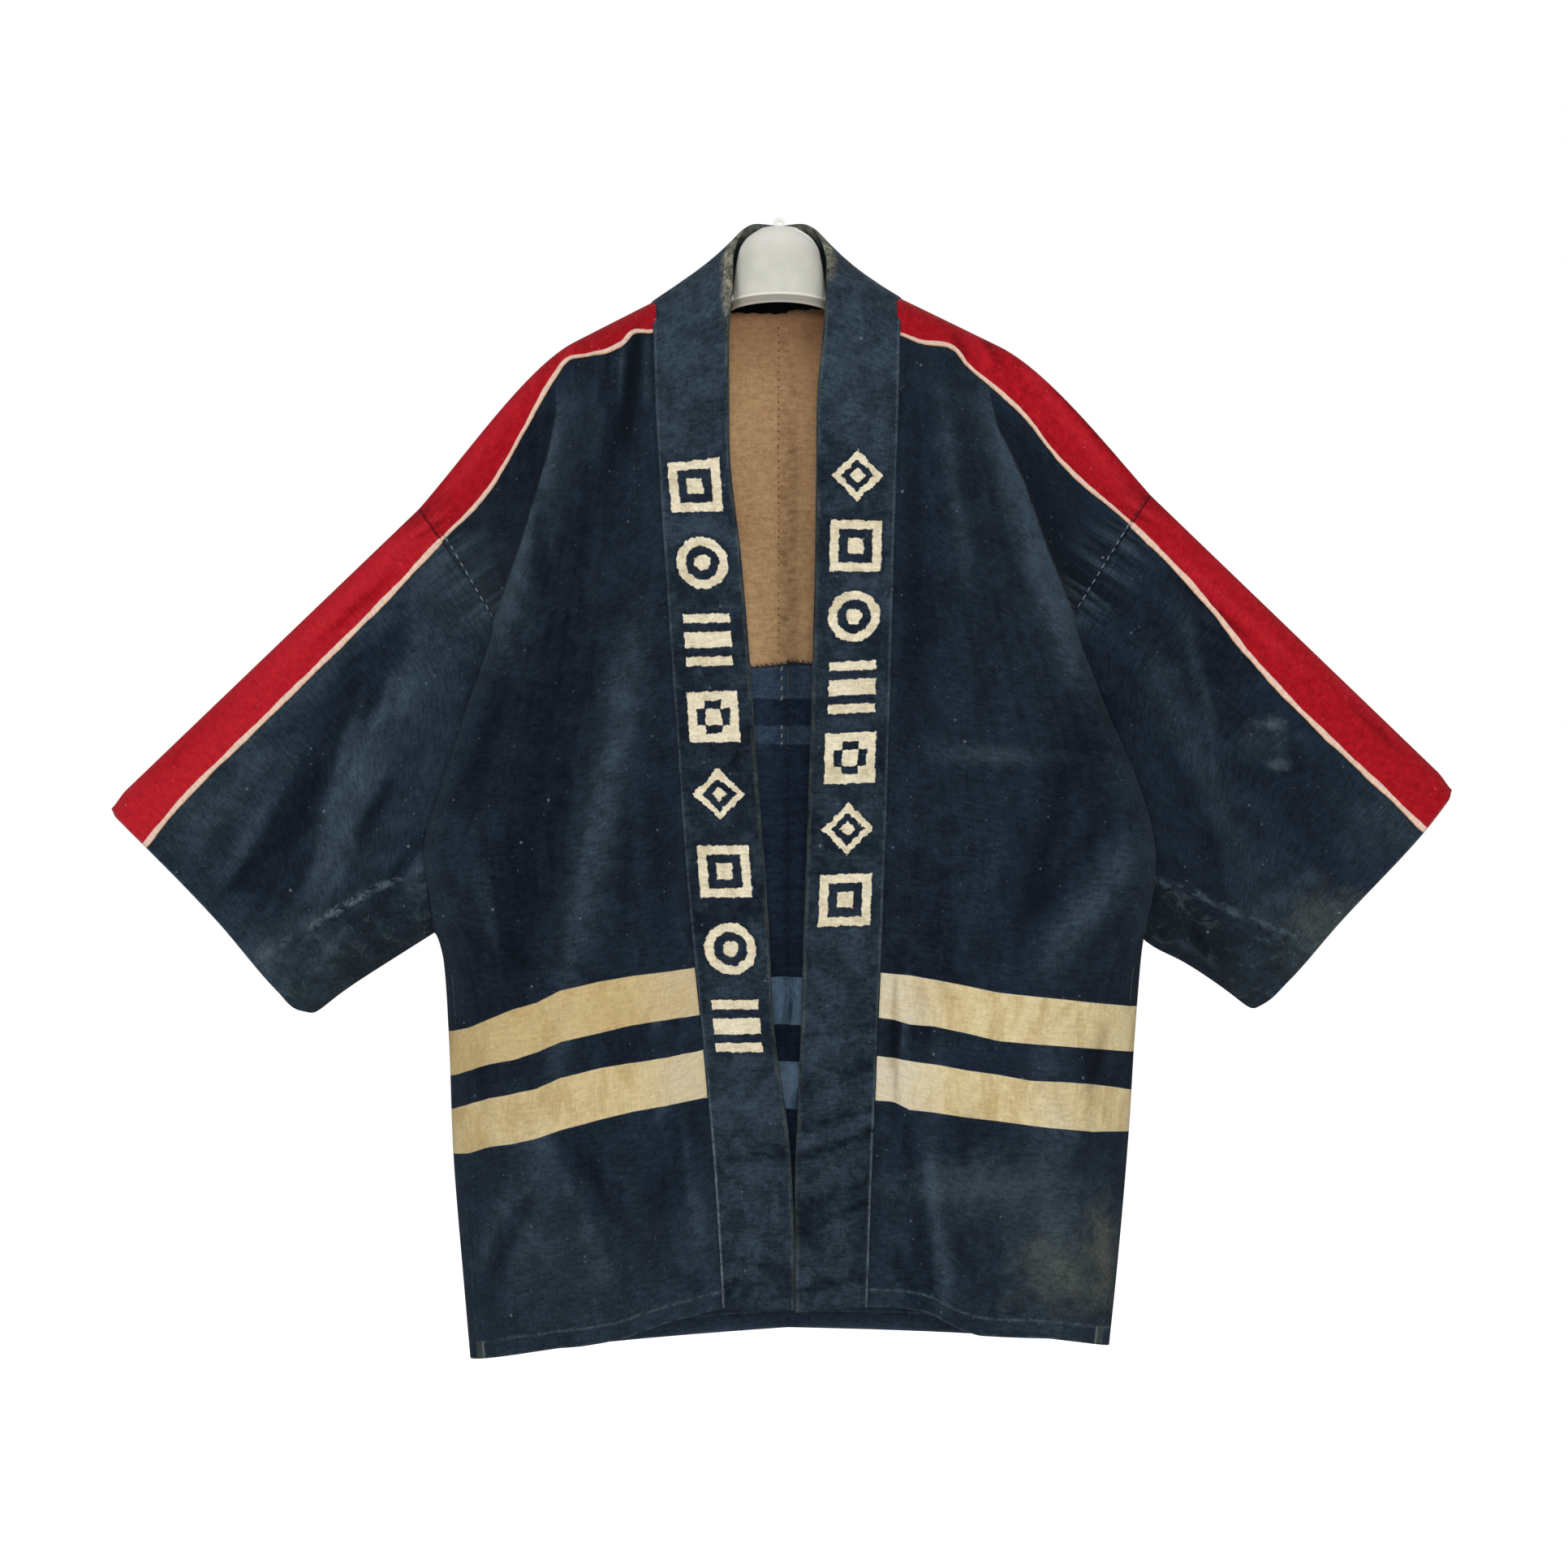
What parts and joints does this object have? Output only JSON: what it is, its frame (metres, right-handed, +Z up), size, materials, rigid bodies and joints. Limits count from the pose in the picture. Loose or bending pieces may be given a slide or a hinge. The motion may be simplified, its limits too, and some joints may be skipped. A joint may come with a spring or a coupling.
{
  "type": "happi coat on a hanger",
  "caption": "Open-fronted indigo cotton happi coat with short wide sleeves, a full-length collar band and two dyed hem bands, hung on a plain moulded hanger with a neck dome.",
  "frame": {"origin": "centre of the hanging eye on top of the hanger's dome", "axes": "+Z up, +X to the right as the coat is seen from the front, so its front faces -Y"},
  "size_m": [1.0842, 0.1103, 0.9097],
  "materials": {
    "indigo_cotton": "indigo-dyed cotton, faded along folds, with a red shoulder stripe and two cream bands left in the dye",
    "band_cotton": "indigo cotton folded double, worn grey at the neck, with plain cream shapes left in the dye",
    "lining_cotton": "plain tan cotton, hand-stitched",
    "hanger_plastic": "light grey frosted moulding"
  },
  "bodies": {
    "root": {"front_left": "indigo_cotton", "front_right": "indigo_cotton", "back_left": "indigo_cotton", "back_right": "indigo_cotton", "sleeve_left": "indigo_cotton", "sleeve_right": "indigo_cotton", "collar": "band_cotton", "lining_left": "lining_cotton", "lining_right": "lining_cotton", "hanger": "hanger_plastic"}
  },
  "joints": []
}
